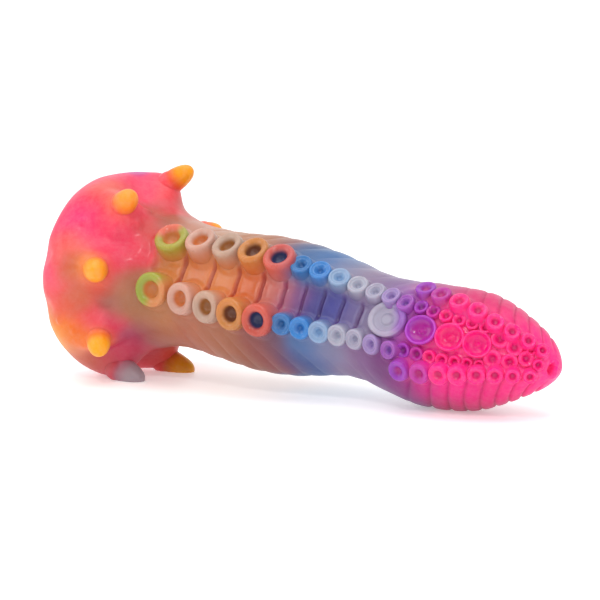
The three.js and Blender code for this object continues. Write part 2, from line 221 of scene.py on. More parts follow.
def ripple(points, wavelength, seed):
    """A smooth, irregular field between about -1 and 1."""
    rng = np.random.default_rng(seed)
    total = 0
    for _ in range(5):
        direction = rng.normal(size=3)
        direction *= 2 * math.pi / wavelength / np.linalg.norm(direction)
        total = total + np.sin(points @ direction + rng.uniform(0, 6.28)) * rng.uniform(0.7, 1.1)
    return total / 3


# ---- the skin ----
def valley(x, phi):
    """Depth of the valleys of the dome: none under a horn and full half way between two."""
    nearest = np.min([np.abs(wrapped(phi - horn["angle"])) for horn in HORNS], axis=0)
    return along(VALLEY_DEPTH, x) * np.sin(np.radians(90) * np.minimum(nearest / 24, 1)) ** 2


def round_radius(x, radius, phi):
    """Radius before the small relief: flatter on the sucker side, with lobes on the dome."""
    a = wrapped(phi - lean(x))
    flat = 0.12 * np.exp(-((a / 27) ** 4)) * smooth(x, -68, -57) * (1 - smooth(x, 96, 107))
    return radius * (1 - flat) * (1 - valley(x, phi))


def channel_relief(x, a):
    """The hollow between the two rows of the shaft, crossed by rungs with raised edges."""
    scale = np.interp(x, (-2, 8), (1, 0.72))
    edge = np.interp(x, (-50, 0, 20, 40), (18.5, 19.0, 20.0, 18.0))
    across = np.exp(-((a / edge) ** 6))
    lengthwise = smooth(x, -58.5, -55.0) * (1 - smooth(x, 34, 39))
    distance = np.min([np.abs(x - groove) for groove in GROOVE_X], axis=0) / scale
    lips = 0.3 * np.exp(-(((distance - 1.5) / 0.7) ** 2))
    rung = np.exp(-((a / 17.5) ** 10))
    tray = -1.9 + 0.2 * (1 - (a / 19) ** 2) * smooth(distance, 1.5, 4.5)
    groove = -1.25 * np.exp(-((distance / 0.62) ** 3))
    start_lip = 0.9 * np.exp(-(((x + 59.3) / 1.1) ** 2)) * np.exp(-((a / 14) ** 4))
    return across * lengthwise * (tray + (lips + groove) * rung) + start_lip


def groove_shade(x, a):
    """How far down in a groove a place is, from 0 to 1, for the painted shade that darkens the grooves."""
    scale = np.interp(x, (-2, 8), (1, 0.72))
    lengthwise = smooth(x, -56, -54) * (1 - smooth(x, 35, 38))
    distance = np.min([np.abs(x - groove) for groove in GROOVE_X], axis=0) / scale
    return np.exp(-((distance / 1.0) ** 4)) * np.exp(-((a / 18.5) ** 10)) * lengthwise


def ridge_relief(x, a):
    """The raised strips that the rows stand on."""
    upper = np.exp(-(((a - along(ROW_ANGLE[1], x)) / 9) ** 2))
    lower = np.exp(-(((a + along(ROW_ANGLE[-1], x)) / 9) ** 2))
    strip = np.maximum(upper, lower)
    return 0.9 * strip * smooth(x, -68, -56) * (1 - smooth(x, 48, 60))


def fold_phase(x, a):
    """Counts the folds along the shaft. They run slightly askew round it."""
    side = np.abs(a)
    return (x - 0.16 * (side - 45) + 2.5 * np.sin(np.radians(side * 4))) / 9.6


def fold_relief(x, a):
    """Shallow overlapping folds on the sides and back of the shaft."""
    share = np.abs(np.sin(np.pi * fold_phase(x, a)))
    plates = share ** 0.6 - 0.7
    window = smooth(np.abs(a), 40, 62) * smooth(x, -54, -40) * (1 - smooth(x, 38, 50))
    return 0.55 * plates * window * (1 - 0.5 * smooth(x, 12, 30))


def rib_crease(x, a):
    """How near a place is to a crease between two ribs of the bulb, from 0 to 1."""
    swept = x + 0.13 * np.maximum(np.abs(a) - 38, 0)
    cups = BORDER[-1]
    stops = [2 * cups[0][0] - cups[1][0]] + [cup[0] for cup in cups] + [cups[-1][0] + 5, cups[-1][0] + 10]
    phase = np.interp(swept, stops, range(len(stops)))
    off = np.abs((phase % 1) - 0.5)  # 0 in a crease, half way between two border cups
    return np.exp(-((off / 0.11) ** 1.4))


def rib_window(x, a):
    """How strong the ribs of the bulb are at a place, from 0 to 1."""
    edge = np.interp(x, (57, 84, 105), (40, 33, 31))
    sides = smooth(np.abs(a), edge, edge + 6) * (1 - 0.5 * smooth(np.abs(a), 130, 170))
    start = np.where(a > 0, smooth(x, 58, 84) * 0.85, smooth(x, 50, 62))
    return sides * start * (1 - smooth(x, 101, 106))


def rib_relief(x, a):
    """Ribs across the bulb's sides, one for each cup of the border, with a crease between neighbours."""
    return (0.2 - 0.75 * rib_crease(x, a)) * rib_window(x, a)


def bulb_relief(x, a):
    """The basin of the bulb's flat side and the raised border round it."""
    on_bulb = smooth(x, 44, 56) * (1 - smooth(x, 100, 106))
    upper = np.interp(x, [cup[0] for cup in BORDER[1]], [cup[1] for cup in BORDER[1]])
    lower = np.interp(x, [cup[0] for cup in BORDER[-1]], [cup[1] for cup in BORDER[-1]])
    middle, half = (upper + lower) / 2, (upper - lower) / 2
    basin = -1.0 * np.exp(-(((a - middle) / (half - 8)) ** 6))
    border = 0.9 * np.exp(-(((np.abs(a - middle) - half) / 6.5) ** 2))
    return on_bulb * (basin + border)


def bumps(s, phi, radius, places):
    """Smooth mounds at (x, phi, size, height) on the surface."""
    total = 0
    for x, centre, size, height in places:
        du = s - station(x)
        dv = np.radians(wrapped(phi - centre)) * radius
        total = total + height * np.exp(-(((du * du + dv * dv) / size ** 2) ** 1.2))
    return total


def dome_relief(s, x, phi, radius):
    """Mounds under the horns, small warts, two notches in the rim and fine lines on the neck of the dome."""
    mounds = [(horn["x"], horn["angle"], 8.0, 3.2 if horn["splay"][1] < 10 else 4.8) for horn in HORNS]
    aprons = [(horn["x"] - 4, horn["angle"], 15.0, 0.5) for horn in HORNS]
    warts = [(wx, wphi, size, 1.0) for wx, wphi, size in WARTS]
    notches = [(-98, 14, 4.5, -1.5), (-98, -17, 4.5, -1.5)]
    lines = 0.015 * np.sin(np.radians(phi) * 90) * smooth(x, -80, -74) * (1 - smooth(x, -66, -60))
    return bumps(s, phi, radius, mounds + aprons + warts + notches) + lines


def seat_relief(s, x, phi, radius):
    """Round each cup the skin rises to its wall, and under it there is room for its hollow."""
    skirts = 0
    pits = 0
    local = np.maximum(radius * 0.97, 1)
    for cx, angle, size, height, stretch in SEATS:
        du = (s - station(cx)) / (size * stretch)
        dv = np.radians(wrapped(phi - lean(cx) - angle)) * local / size
        distance = np.sqrt(du * du + dv * dv)
        skirts = np.maximum(skirts, 0.3 * height * (1 - smooth(distance, 0.95, 1.4)))
        pits = np.maximum(pits, 1 - smooth(distance, 0.74, 0.92))
    return skirts * (1 - pits) - 1.6 * pits


SEATS = ROW[1] + ROW[-1] + BORDER[1] + BORDER[-1] + CHAIN[1] + CHAIN[-1] + MIDDLE
SEATS += [(x, angle, size, SMALL_HEIGHT, 1.0) for x, angle, size in TIP_CUPS]

TIP_HOLE = {"x": 106.3, "phi": 4.0, "width": 1.7, "height": 3.0, "depth": 3.4}


def tip_hole_relief(s, phi, radius):
    """The hole at the tip, with a slightly raised edge."""
    du = (s - station(TIP_HOLE["x"])) / TIP_HOLE["width"]
    dv = np.radians(wrapped(phi - TIP_HOLE["phi"])) * np.maximum(radius, 1) / TIP_HOLE["height"]
    distance = np.sqrt(du * du + dv * dv)
    edge = 0.3 * np.exp(-(((distance - 1.25) / 0.25) ** 2))
    return -TIP_HOLE["depth"] * (1 - smooth(distance, 0.5, 1.0)) + edge


def surface(s, phi, seats=True):
    """Point on the finished skin, and the unit normal of the smooth outline under it."""
    x = np.interp(s, OUTLINE_S, OUTLINE_X)
    radius = np.interp(s, OUTLINE_S, OUTLINE_R)
    dx = np.interp(s + 0.6, OUTLINE_S, OUTLINE_X) - np.interp(s - 0.6, OUTLINE_S, OUTLINE_X)
    dr = np.interp(s + 0.6, OUTLINE_S, OUTLINE_R) - np.interp(s - 0.6, OUTLINE_S, OUTLINE_R)
    length = np.hypot(dx, dr)
    along_x, out = -dr / length, dx / length
    a = wrapped(phi - lean(x))
    swollen = round_radius(x, radius, phi)
    relief = (channel_relief(x, a) + ridge_relief(x, a) + fold_relief(x, a) + rib_relief(x, a)
              + bulb_relief(x, a) + dome_relief(s, x, phi, radius) + tip_hole_relief(s, phi, radius))
    if seats:
        relief = relief + seat_relief(s, x, phi, radius)
    relief = relief * smooth(radius, 0.3, 3)
    centre, tangent, _ = spine_frame(x)
    direction = outward(x, phi)
    points = centre + direction * (swollen + out * relief)[..., None]
    points = points + tangent * (along_x * relief)[..., None]
    points = points + direction * (0.16 * ripple(points, 17, 3) * smooth(radius, 2, 10))[..., None]
    points[..., 2] = np.maximum(points[..., 2], FLOOR_GAP)  # it is soft, and lies flat on the floor
    normal = direction * out[..., None] + tangent * along_x[..., None]
    return points, normal


# ---- colours ----
def rgb(code):
    """Linear colour from an sRGB hex code."""
    channels = np.array([int(code[i:i + 2], 16) / 255 for i in (0, 2, 4)])
    return np.where(channels <= 0.04045, channels / 12.92, ((channels + 0.055) / 1.055) ** 2.4)


# Patches of pigment on the skin, as (x, phi, colour, reach). Their colours were adjusted until the render
# came near the photograph.
POURS = [
    # dome
    (-100, 0, "f05070", 14), (-100, 45, "ec4a70", 14), (-96, 90, "e84868", 14), (-90, 48, "ec3e5c", 10),
    (-87, 37, "fc3e7c", 7), (-78, 38, "ea4a66", 8), (-88, 22, "de6050", 6), (-93, 18, "e65054", 6),
    (-77, 9, "f8983c", 6), (-84, 9, "bc6438", 6), (-73, 12, "e4405c", 6), (-72, 28, "da3c5c", 7),
    (-77, 54, "f4784c", 6), (-87, 64, "de6040", 7), (-73, 56, "ec4262", 6), (-93, 95, "b0489c", 3.5),
    (-89, 97, "8c50a8", 3.5), (-76, 103, "f85a60", 6), (-71, 78, "b85c50", 5), (-69, 92, "dc4c5a", 6),
    (-84, -8, "be6c40", 6), (-76, -3, "cc5448", 6), (-93, -14, "d45438", 7), (-73, -13, "a07060", 5),
    (-86, -34, "dc6c28", 7), (-97, -30, "e89420", 9), (-78, -35, "f4883c", 5), (-79, -22, "ea5464", 6),
    (-72, -29, "d8345c", 6), (-69, -46, "a0466c", 5), (-75, -52, "c0405c", 7), (-90, -56, "bc6454", 8),
    (-84, -70, "c84e64", 7), (-78, -90, "c03848", 8), (-76, -108, "d0503c", 7), (-95, -90, "e44c64", 12),
    (-88, 130, "e84c68", 13), (-79, 157, "f08840", 6), (-92, 180, "e8486c", 13), (-79, -161, "f0983c", 6),
    (-88, -135, "e84864", 13), (-72, 135, "d85860", 7), (-72, -140, "d04460", 7),
    # foot of the shaft
    (-67, 30, "d84450", 5), (-66, 50, "c44844", 5), (-65, 5, "a86c50", 6), (-64, -20, "9c6c4c", 6),
    (-63, -45, "9c5c58", 7), (-63, 75, "a4503c", 6), (-64, 110, "b8685c", 8), (-63, 150, "a8705c", 9),
    (-63, -165, "a8685c", 9), (-63, -110, "a4605a", 9),
    # sides of the shaft
    (-52, -28, "ac744c", 9), (-44, -45, "a25a46", 9), (-34, -35, "ac6a50", 9), (-24, -40, "9c6044", 9),
    (-14, -48, "905444", 7), (-6, -35, "8c4c48", 6), (0, -48, "8c4848", 5), (3, -30, "6c4858", 6),
    (8, -45, "5c4870", 6), (17, -42, "345890", 8), (14, -24, "4c70a0", 6), (24, -30, "8084a0", 7),
    (30, -42, "8c7490", 8), (38, -36, "785080", 8), (44, -50, "7a4f80", 7),
    (-52, 78, "bc8674", 9), (-40, 82, "b48c74", 9), (-27, 78, "aa7454", 9), (-15, 82, "a46c50", 8),
    (-6, 80, "8c5c5c", 7), (4, 76, "4c6488", 7), (13, 76, "4870a4", 8), (21, 70, "84849c", 7),
    (30, 68, "8c7c94", 8), (40, 66, "806890", 8), (-30, 130, "a86c54", 12), (-5, 130, "7c5c6c", 10),
    (15, 130, "4470a0", 10), (35, 140, "8c7c9c", 12), (-40, -130, "a86c54", 12), (-14, -120, "985c58", 10),
    (6, -110, "4c6894", 10), (20, -120, "506ea0", 10), (36, -110, "88749c", 10), (-45, 180, "a8705c", 12),
    (-10, 180, "8c6068", 10), (12, 180, "4668a0", 10),
    # the hollow with the rungs
    (-50, 25, "d28850", 6), (-41, 24, "d07c4c", 7), (-28, 22, "d4824c", 7), (-14, 20, "d06e40", 6),
    (-4, 20, "c4746c", 5), (4, 20, "b46e80", 4), (10, 19, "805888", 4), (16, 18, "54508c", 4),
    (23, 18, "505094", 4), (30, 17, "746898", 5), (38, 16, "8c829c", 5),
    # bulb
    (48, 60, "8c5c9c", 6), (50, -20, "682868", 6), (51, 18, "a868b4", 6), (54, 45, "8c3cac", 6),
    (56, -36, "7c3078", 6), (58, 10, "bc2ca0", 6), (60, 75, "983c80", 7), (62, 40, "a82470", 6),
    (63, -30, "c02480", 7), (66, 5, "c42078", 7), (52, 110, "8c6c98", 9), (52, -80, "7c4c80", 9),
    (52, 180, "84609a", 12), (68, 80, "b43468", 10), (76, 75, "d0346c", 10), (88, 70, "da306e", 9),
    (75, 30, "fa348c", 10), (90, 20, "ff3a90", 10), (75, -20, "f42c8c", 10), (74, -60, "b42868", 10),
    (90, -50, "d83078", 10), (100, 0, "ff3c8c", 10), (80, 130, "d43070", 16), (80, -130, "c42c68", 16),
]
POUR_POINTS = np.array([surface(station(float(x)), np.float64(phi))[0] for x, phi, _, _ in POURS])
POUR_COLOURS = np.array([rgb(colour) for _, _, colour, _ in POURS])
POUR_REACH = np.array([reach for _, _, _, reach in POURS], float)


def pigment(points):
    """Colour of the skin, mixed from the pours near each point, with their edges drawn out into swirls."""
    swirl = np.stack([ripple(points, 24, seed) for seed in (11, 12, 13)], -1) * 1.8
    fine = np.stack([ripple(points, 8, seed) for seed in (21, 22, 23)], -1) * 0.5
    flat = (points + swirl + fine).reshape(-1, 3)
    colours = np.zeros_like(flat)
    total = np.zeros(len(flat))
    for place, colour, reach in zip(POUR_POINTS, POUR_COLOURS, POUR_REACH):
        distance = np.linalg.norm(flat - place, axis=1) / reach
        weight = np.exp(-(distance ** 2)) + 1e-4 / (1 + distance ** 4)
        colours += weight[:, None] * colour
        total += weight
    return (colours / total[:, None]).reshape(points.shape)


# ---- meshes ----
def make_mesh(name, points, faces, colours, gloss=0.0):
    """A smooth mesh, with each point's colour and its place at rest as attributes."""
    flat = points.reshape(-1, 3)
    mesh = bpy.data.meshes.new(name)
    mesh.from_pydata((flat * MM).tolist(), [], faces)
    mesh.update()
    mesh.polygons.foreach_set("use_smooth", np.ones(len(mesh.polygons), bool))
    colour = mesh.attributes.new("pigment", "FLOAT_COLOR", "POINT")
    with_alpha = np.c_[colours.reshape(-1, 3), np.ones(len(flat))]
    colour.data.foreach_set("color", with_alpha.astype(np.float32).ravel())
    rest = mesh.attributes.new("rest", "FLOAT_VECTOR", "POINT")
    rest.data.foreach_set("vector", flat.astype(np.float32).ravel())
    shine = mesh.attributes.new("gloss", "FLOAT", "POINT")
    shine.data.foreach_set("value", np.broadcast_to(gloss, len(flat)).astype(np.float32))
    obj = bpy.data.objects.new(name, mesh)
    bpy.context.scene.collection.objects.link(obj)
    return obj


def ring_faces(rows, columns):
    """Quads between rings of points, each ring closed on itself."""
    faces = []
    for r in range(rows - 1):
        base = r * columns
        for c in range(columns):
            d = (c + 1) % columns
            faces.append((base + c, base + c + columns, base + d + columns, base + d))
    return faces


def spaced(density_at, low, high, step):
    """Points from low to high whose spacing is step divided by the density there."""
    fine = np.linspace(low, high, 4000)
    density = density_at(fine)
    amount = np.concatenate([[0], np.cumsum((density[1:] + density[:-1]) / 2 * np.diff(fine))])
    count = int(amount[-1] / step) + 1
    return np.interp(np.linspace(0, amount[-1], count + 1), amount, fine)


# ---- material ----
def silicone():
    """Satin cast silicone that takes its colour from the pigment attribute."""
    material = bpy.data.materials.new("silicone")
    material.use_nodes = True
    nodes, links = material.node_tree.nodes, material.node_tree.links
    nodes.clear()

    def node(kind, **values):
        made = nodes.new(kind)
        for key, value in values.items():
            if key in made.inputs:
                made.inputs[key].default_value = value
            else:
                setattr(made, key, value)
        return made

    def noise(**values):
        """A noise that is fixed to the silicone, so that it moves with it."""
        made = node("ShaderNodeTexNoise", **values)
        links.new(rest.outputs["Vector"], made.inputs["Vector"])
        return made.outputs["Fac"]

    def ranged(source, *limits):
        """Maps a value from its first two limits to the last two."""
        made = node("ShaderNodeMapRange")
        for socket, value in zip(("From Min", "From Max", "To Min", "To Max"), limits):
            made.inputs[socket].default_value = value
        links.new(source, made.inputs["Value"])
        return made.outputs["Result"]

    def bump(height, **values):
        made = node("ShaderNodeBump", **values)
        links.new(height, made.inputs["Height"])
        return made

    output = node("ShaderNodeOutputMaterial")
    shader = node("ShaderNodeBsdfPrincipled")
    links.new(shader.outputs[0], output.inputs[0])
    pigments = node("ShaderNodeAttribute", attribute_name="pigment")
    rest = node("ShaderNodeAttribute", attribute_name="rest")
    gloss = node("ShaderNodeAttribute", attribute_name="gloss")

    # cloudy patches, where the silicone is milkier or clearer, and fine specks of pigment
    clouds = noise(Scale=0.09, Detail=4.0, Roughness=0.6, Distortion=0.6)
    specks = noise(Scale=0.45, Detail=5.0, Roughness=0.7)
    tint = node("ShaderNodeHueSaturation")
    links.new(pigments.outputs["Color"], tint.inputs["Color"])
    links.new(ranged(clouds, 0.3, 0.7, 0.96, 1.05), tint.inputs["Value"])
    links.new(ranged(specks, 0.35, 0.65, 0.98, 1.03), tint.inputs["Saturation"])
    links.new(tint.outputs["Color"], shader.inputs["Base Color"])

    # satin on the outside and shinier where the mould was polished
    shine = node("ShaderNodeMath", operation="MULTIPLY_ADD")
    shine.inputs[1].default_value = -0.26
    links.new(gloss.outputs["Fac"], shine.inputs[0])
    links.new(ranged(clouds, 0.3, 0.7, 0.36, 0.46), shine.inputs[2])
    links.new(shine.outputs["Value"], shader.inputs["Roughness"])

    # the mould's fine grain, and a slight unevenness
    grain = bump(noise(Scale=1.9, Detail=3.0, Roughness=0.6), Strength=0.12, Distance=0.0003)
    lumps = bump(noise(Scale=0.28, Detail=2.0), Strength=0.25, Distance=0.0006)
    links.new(grain.outputs["Normal"], lumps.inputs["Normal"])
    links.new(lumps.outputs["Normal"], shader.inputs["Normal"])

    shader.inputs["Subsurface Weight"].default_value = 0.35
    shader.inputs["Subsurface Radius"].default_value = (1.0, 0.5, 0.45)
    shader.inputs["Subsurface Scale"].default_value = 0.003
    shader.inputs["IOR"].default_value = 1.41
    shader.inputs["Specular IOR Level"].default_value = 0.4
    shader.inputs["Coat Weight"].default_value = 0.1
    shader.inputs["Coat Roughness"].default_value = 0.18
    return material


SILICONE = silicone()


# ---- the two halves of the skin ----
COLUMN_STEP = 2.46  # degrees, where the density is 1
ROW_STEP = 0.5  # millimetres


def column_density(a):
    """Columns of points are closer on the sucker side."""
    return 1 + 2.2 * (1 - smooth(np.abs(a), 58, 72))


def row_density(s):
    """Rows of points are wider apart on the dome, and a little closer on the bulb."""
    x = np.interp(s, OUTLINE_S, OUTLINE_X)
    return 0.5 + 0.5 * smooth(x, -66, -58) + 0.15 * smooth(x, 40, 50)


COLUMNS = spaced(column_density, -180, 180, COLUMN_STEP)[:-1]
SPLIT_S = float(station(SPLIT_X))


def skin(name, low, high):
    """The skin between two places on the outline. Both ends are open."""
    stations = spaced(row_density, low, high, ROW_STEP)
    s, a = np.meshgrid(stations, COLUMNS, indexing="ij")
    x = np.interp(s, OUTLINE_S, OUTLINE_X)
    points, _ = surface(s, lean(x) + a)
    rows, columns = s.shape
    # painted shade: the grooves between the rungs and the creases between the bulb's ribs are painted darker
    painted_crease_shade = np.maximum(groove_shade(x, a), 0.8 * rib_crease(x, a) * rib_window(x, a))
    colours = pigment(points) * (1 - painted_crease_shade[..., None] * np.array([0.22, 0.5, 0.3]))
    polish = np.exp(-((a / 22) ** 6)) * smooth(x, -60, -55) * 0.85
    return make_mesh(name, points, ring_faces(rows, columns), colours, polish.ravel())


body_skin = skin("base_and_shaft_skin", 0.4, SPLIT_S)
tip_skin = skin("neck_and_bulb_skin", SPLIT_S, OUTLINE_S[-1] - 0.05)
for piece in (body_skin, tip_skin):
    piece.data.materials.append(SILICONE)
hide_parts("base_dome", "shaft_root", "shaft_belly")
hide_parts("shaft_middle", "shaft_neck", "bulb")


def attach(obj, x):
    """Rides a small piece at station x on its body; on the belly or the neck it is left loose, with its
    transform baked into its mesh.
    """
    if BELLY_X < x < MIDDLE_X:
        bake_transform(obj)
    elif NECK_X < x < BULB_X:
        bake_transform(obj)
    elif x <= BELLY_X:
        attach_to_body(obj, "base")
    elif x <= NECK_X:
        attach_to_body(obj, "middle")
    else:
        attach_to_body(obj, "tip")


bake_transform(body_skin)
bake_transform(tip_skin)

# ---- sucker cups ----
# Profiles from the foot to the middle of the hollow. A foot is (share of the radius, height over the
# skin) and a top is (share of the radius, depth below the rim).
STUB = {"foot": [(1.16, -0.5), (1.1, 0.3), (1.06, 1.2), (1.03, 2.2)],
        "top": [(1.0, 1.7), (0.98, 1.0), (0.94, 0.42), (0.87, 0.08), (0.79, 0.0), (0.71, 0.12), (0.62, 0.38),
                (0.54, 0.8), (0.48, 1.4), (0.44, 2.1), (0.39, 2.9), (0.30, 3.6), (0.16, 4.0), (0.0, 4.1)]}
NARROW = {"foot": [(1.14, -0.4), (1.08, 0.3), (1.03, 1.0)],
          "top": [(1.0, 1.1), (0.985, 0.65), (0.95, 0.28), (0.88, 0.05), (0.81, 0.0), (0.74, 0.14),
                  (0.67, 0.36), (0.61, 0.42), (0.56, 0.38), (0.50, 0.52), (0.43, 0.8), (0.35, 1.0),
                  (0.27, 1.2), (0.20, 1.6), (0.11, 1.85), (0.0, 1.9)]}
BAND_DISH = {"foot": [(1.12, -0.4), (1.05, 0.2), (1.01, 0.8)],
             "top": [(0.99, 1.1), (0.97, 0.6), (0.93, 0.22), (0.87, 0.02), (0.81, 0.0), (0.75, 0.14),
                     (0.71, 0.3), (0.68, 0.62), (0.65, 0.95), (0.60, 1.12), (0.52, 1.25), (0.42, 1.36),
                     (0.34, 1.38), (0.30, 1.2), (0.26, 1.02), (0.18, 0.96), (0.08, 0.95), (0.0, 0.95)]}
DISH = {"foot": [(1.12, -0.4), (1.05, 0.1), (1.0, 0.6)],
        "top": [(0.98, 1.0), (0.96, 0.5), (0.93, 0.14), (0.89, 0.0), (0.85, 0.06), (0.81, 0.34), (0.77, 0.8),
                (0.71, 1.3), (0.62, 1.75), (0.5, 2.1), (0.36, 2.35), (0.24, 2.4), (0.17, 2.25), (0.1, 2.02),
                (0.0, 1.95)]}
RING = {"foot": [(1.2, -0.3), (1.1, 0.1), (1.04, 0.5)],
        "top": [(1.0, 0.7), (0.97, 0.38), (0.91, 0.1), (0.82, 0.0), (0.70, 0.1), (0.58, 0.3), (0.47, 0.6),
                (0.38, 0.95), (0.28, 1.3), (0.15, 1.5), (0.0, 1.55)]}
UNDERSIDE = -1.9  # the closed bottom of a cup, inside the skin
PROFILE_SCALE = 5  # a usual cup radius, so that shares and heights count alike along a profile


def smooth_profile(points, count):
    """Points evenly spread along a smooth curve through the given ones."""
    points = np.array(points, float)
    steps = np.hypot(*np.diff(points * (PROFILE_SCALE, 1), axis=0).T)
    t = np.concatenate([[0], np.cumsum(steps)])
    even = np.linspace(0, t[-1], count)
    return np.stack([along(list(zip(t, points[:, k])), even) for k in (0, 1)], -1)


def cup_mesh(name, cup, shape, rim, hollow, segments=40, levels=34):
    """One cup, with a foot that follows the skin. rim and hollow are its colours."""
    x, angle, radius, height, stretch = cup
    phi = float(lean(x) + angle)
    top = [(share, height - depth) for share, depth in shape["top"]]
    outline = smooth_profile(shape["foot"] + top, levels)
    outline[-1, 0] = 0
    peak = int(np.argmax(outline[:, 1]))
    follow = 1 - smooth(outline[:, 1], 0.3, 0.75 * height)
    follow[peak:] = 0
    turns = np.linspace(0, 2 * np.pi, segments, endpoint=False)
    s0 = float(station(x))
    centre, normal = surface(np.float64(s0), np.float64(phi), seats=False)
    _, tangent, _ = spine_frame(np.float64(x))
    across = np.cross(normal, tangent)
    across /= np.linalg.norm(across)
    forward = np.cross(across, normal)
    local_radius = float(np.interp(s0, OUTLINE_S, OUTLINE_R)) * 0.97

    def ring(share, level, hug):
        """Points round the cup, which follow the skin as far as hug says."""
        u = share * radius * stretch * np.cos(turns)
        v = share * radius * np.sin(turns)
        on_skin, _ = surface(s0 + u, phi + np.degrees(v / local_radius), seats=False)
        on_plane = centre + u[:, None] * forward + v[:, None] * across
        return on_skin * hug + on_plane * (1 - hug) + normal * level

    rings = [ring(outline[0, 0] * 0.97, UNDERSIDE, 1.0)]
    rings += [ring(share, level, hug) for (share, level), hug in zip(outline[:-1], follow[:-1])]
    points = np.array(rings)
    rows = len(rings)
    middle = centre + normal * outline[-1, 1]
    bottom = centre + normal * UNDERSIDE
    flat = np.concatenate([points.reshape(-1, 3), [middle, bottom]])
    faces = [tuple(reversed(face)) for face in ring_faces(rows, segments)]
    last = (rows - 1) * segments
    for k in range(segments):
        following = (k + 1) % segments
        faces.append((last + k, last + following, rows * segments))
        faces.append((following, k, rows * segments + 1))

    level = np.concatenate([[0], outline[:-1, 1]])
    reach = np.concatenate([[1], outline[:-1, 0]])
    inside = np.arange(rows) > peak + 1
    rim_share = np.where(inside, (1 - smooth(height - level, 0.5, 2.4)) * smooth(reach, 0.15, 0.6),
                         smooth(level, 0.0, 0.85 * height))
    rim_colour = rim(turns)[None] if callable(rim) else rgb(rim)[None, None]
    skin_colour = pigment(points)
    rim_colour = 0.82 * rim_colour + 0.18 * skin_colour  # rims are a little clear
    other = np.where(inside[:, None, None], rgb(hollow), skin_colour)
    mixed = other * (1 - rim_share[:, None, None]) + rim_colour * rim_share[:, None, None]
    all_colours = np.concatenate([mixed.reshape(-1, 3), [rgb(hollow), rgb(hollow)]])
    gloss = np.concatenate([np.repeat(np.where(inside, 1.0, 0.5 * rim_share), segments), [1.0, 0.0]])
    obj = make_mesh(name, flat, faces, all_colours, gloss)
    obj.data.materials.append(SILICONE)
    attach(obj, x)
    return obj


def two_tone(first, second, turn, spread):
    """A rim that is first on the side at turn and second on the far side."""
    def colour(turns):
        share = smooth(np.cos(turns - math.radians(turn)), spread - 0.4, spread + 0.4)[:, None]
        return rgb(second) * (1 - share) + rgb(first) * share
    return colour


# Rim and hollow of each cup in a row, from the base to the tip. The first rims have two colours.
ROW_COLOURS = [
    (None, "cc8450"), ("c49c8e", "d08050"), ("b49c8c", "a46c40"), ("c08044", "784834"),
    ("c85848", "3c4064"), ("3c76b0", "285890"), ("3a80c4", "2864a8"), ("88a4c4", "7090b8"),
    ("a8aab8", "9494a8"), ("a4a2b4", "9490a8"), ("9c88b8", "8468a4"), ("9858ac", "784098"),
]
FIRST_RIMS = {1: two_tone("d86c58", "98a040", 135, 0.45), -1: two_tone("8ea440", "cc8858", 155, -0.35)}
NAMES = {1: "upper", -1: "lower"}
for side in (1, -1):
    for k, cup in enumerate(ROW[side]):
        rim, hollow = ROW_COLOURS[k]
        shape = STUB if k < len(WIDE_X[side]) else NARROW
        made = cup_mesh(f"{NAMES[side]}_cup_{k + 1}", cup, shape, rim or FIRST_RIMS[side], hollow)
        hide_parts(f"{NAMES[side]}_sucker_{k + 1}")

MIDDLE_COLOURS = [(two_tone("8c64b0", "a8a4b4", 20, 0.55), "9a94a8"), ("a444bc", "a8208c"),
                  ("fc3484", "e01c70"), ("fc3484", "e8207c")]
for k, cup in enumerate(MIDDLE):
    rim, hollow = MIDDLE_COLOURS[k]
    made = cup_mesh(f"middle_cup_{k + 1}", cup, BAND_DISH if k == 0 else DISH, rim, hollow, 60, 44)
    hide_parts(f"middle_sucker_{k + 1}")

BORDER_COLOURS = [("9444b4", "a82c84"), ("b03c9c", "b42474")] + [("fa3484", "cc2068")] * 6
for side in (1, -1):
    for k, cup in enumerate(BORDER[side]):
        made = cup_mesh(f"{NAMES[side]}_border_cup_{k + 1}", cup, RING, *BORDER_COLOURS[k])
        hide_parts(f"{NAMES[side]}_border_sucker_{k + 1}")

CHAIN_COLOURS = [("9838ac", "841c80"), ("b42c98", "9c1c74")] + [("f43080", "cc1c68")] * 4
for side in (1, -1):
    for k, cup in enumerate(CHAIN[side]):
        made = cup_mesh(f"{NAMES[side]}_chain_cup_{k + 1}", cup, RING, *CHAIN_COLOURS[k], 28, 24)
for k, (x, angle, radius) in enumerate(TIP_CUPS):
    cup = (x, angle, radius, SMALL_HEIGHT, 1.0)
    made = cup_mesh(f"tip_cup_{k + 1}", cup, RING, "fc3484", "d42070", 32, 26)


# ---- horns ----
# Share of the way along a horn, and its radius there as a share of the root's.
HORN_TAPER = [(0, 1.08), (0.14, 1.08), (0.24, 1.05), (0.30, 0.99), (0.36, 0.96), (0.5, 0.92), (0.65, 0.83),
              (0.78, 0.71), (0.88, 0.56), (0.95, 0.37), (0.985, 0.2), (1.0, 0.0)]


def bezier(start, middle, end, t):
    """Points on the curve and its unit tangents."""
    t = t[:, None]
    points = start * (1 - t) ** 2 + 2 * middle * t * (1 - t) + end * t * t
    tangents = (middle - start) * (1 - t) + (end - middle) * t
    return points, tangents / np.linalg.norm(tangents, axis=1, keepdims=True)


def splayed(x, aim, degrees):
    """Unit vector that leans away from the centre line at x by some degrees, towards the angle aim."""
    _, tangent, _ = spine_frame(x)
    turn = math.radians(degrees)
    return tangent * math.cos(turn) + outward(x, np.float64(aim)) * math.sin(turn)


